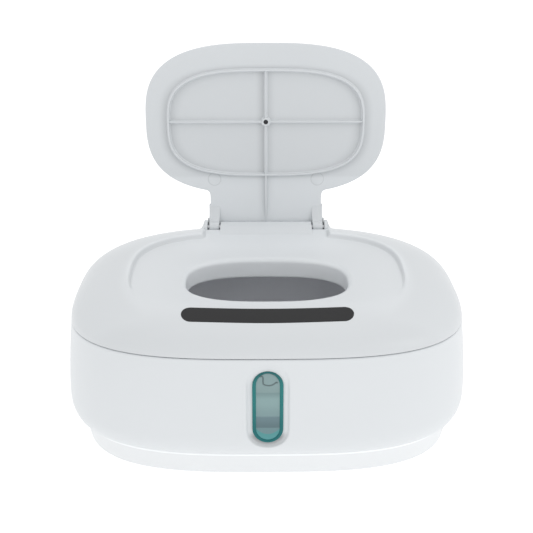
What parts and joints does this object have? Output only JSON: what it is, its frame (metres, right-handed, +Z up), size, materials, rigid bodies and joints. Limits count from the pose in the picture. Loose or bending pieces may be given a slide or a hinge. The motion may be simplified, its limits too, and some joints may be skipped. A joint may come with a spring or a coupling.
{
  "type": "baby wipe warmer",
  "caption": "Countertop baby wipe warmer: heated tub in a rounded white housing, lift-off cover with a dispensing opening, hinged lid and a level window.",
  "frame": {"origin": "on the surface it stands on, under the middle of the housing", "axes": "+Z up, front with the window towards -Y, +X to the right as seen from the front"},
  "size_m": [0.2563, 0.1796, 0.2355],
  "materials": {
    "pan_white": "satin moulded plastic, slightly whiter than the housing",
    "housing_white": "satin moulded plastic",
    "cover_white": "satin moulded plastic",
    "lid_white": "satin moulded plastic",
    "plug_white": "satin moulded plastic",
    "liner_white": "matt moulded plastic",
    "tub_grey": "matt grey polypropylene",
    "foot_rubber": "matt",
    "sleeve_rubber": "matt silicone",
    "screw_steel": "zinc plated",
    "screw_dark": "black oxide",
    "plate_aluminium": "mill finish",
    "film_orange": "polyimide film",
    "pad_foam": "closed-cell foam",
    "thermostat_metal": "pressed can",
    "fuse_body": "ceramic body",
    "board_green": "solder mask",
    "connector_white": "nylon",
    "chip_black": "moulded epoxy",
    "jack_black": "moulded",
    "lead_sleeve": "PVC sleeve",
    "window_teal": "clear tinted teal",
    "lens_green": "clear polished plastic",
    "strip_charcoal": "matt soft-touch"
  },
  "bodies": {
    "base": {"base_pan": "pan_white", "outer_housing": "housing_white", "rubber_feet": "foot_rubber", "base_screws": "screw_steel", "inner_tub": "tub_grey", "heat_plate": "plate_aluminium", "heater_film": "film_orange", "insulation_pad": "pad_foam", "thermostat": "thermostat_metal", "thermal_fuse": "fuse_body", "control_board": "board_green", "board_connector": "connector_white", "board_regulator": "chip_black", "board_capacitor": "chip_black", "dc_jack": "jack_black", "heater_leads": "lead_sleeve", "thermostat_leads": "lead_sleeve", "window_frame": "window_teal", "sight_lens": "lens_green", "window_sleeve": "sleeve_rubber"},
    "cover": {"top_cover": "cover_white", "grip_strip": "strip_charcoal", "hinge_pins": "screw_steel", "cover_liner": "liner_white", "liner_screws": "screw_steel"},
    "lid": {"lid_frame": "lid_white", "lid_skin": "lid_white", "lid_plugs": "plug_white", "lid_screw": "screw_dark"}
  },
  "joints": [
    {"name": "cover_lift", "type": "slide", "parent": "base", "child": "cover", "axis": [0, 0, 1], "range_m": [0, 0.08]},
    {"name": "lid_hinge", "type": "hinge", "parent": "cover", "child": "lid", "pos_m": [0, 0.061, 0.11], "axis": [1, 0, 0], "range_deg": [0, 97.5]}
  ]
}
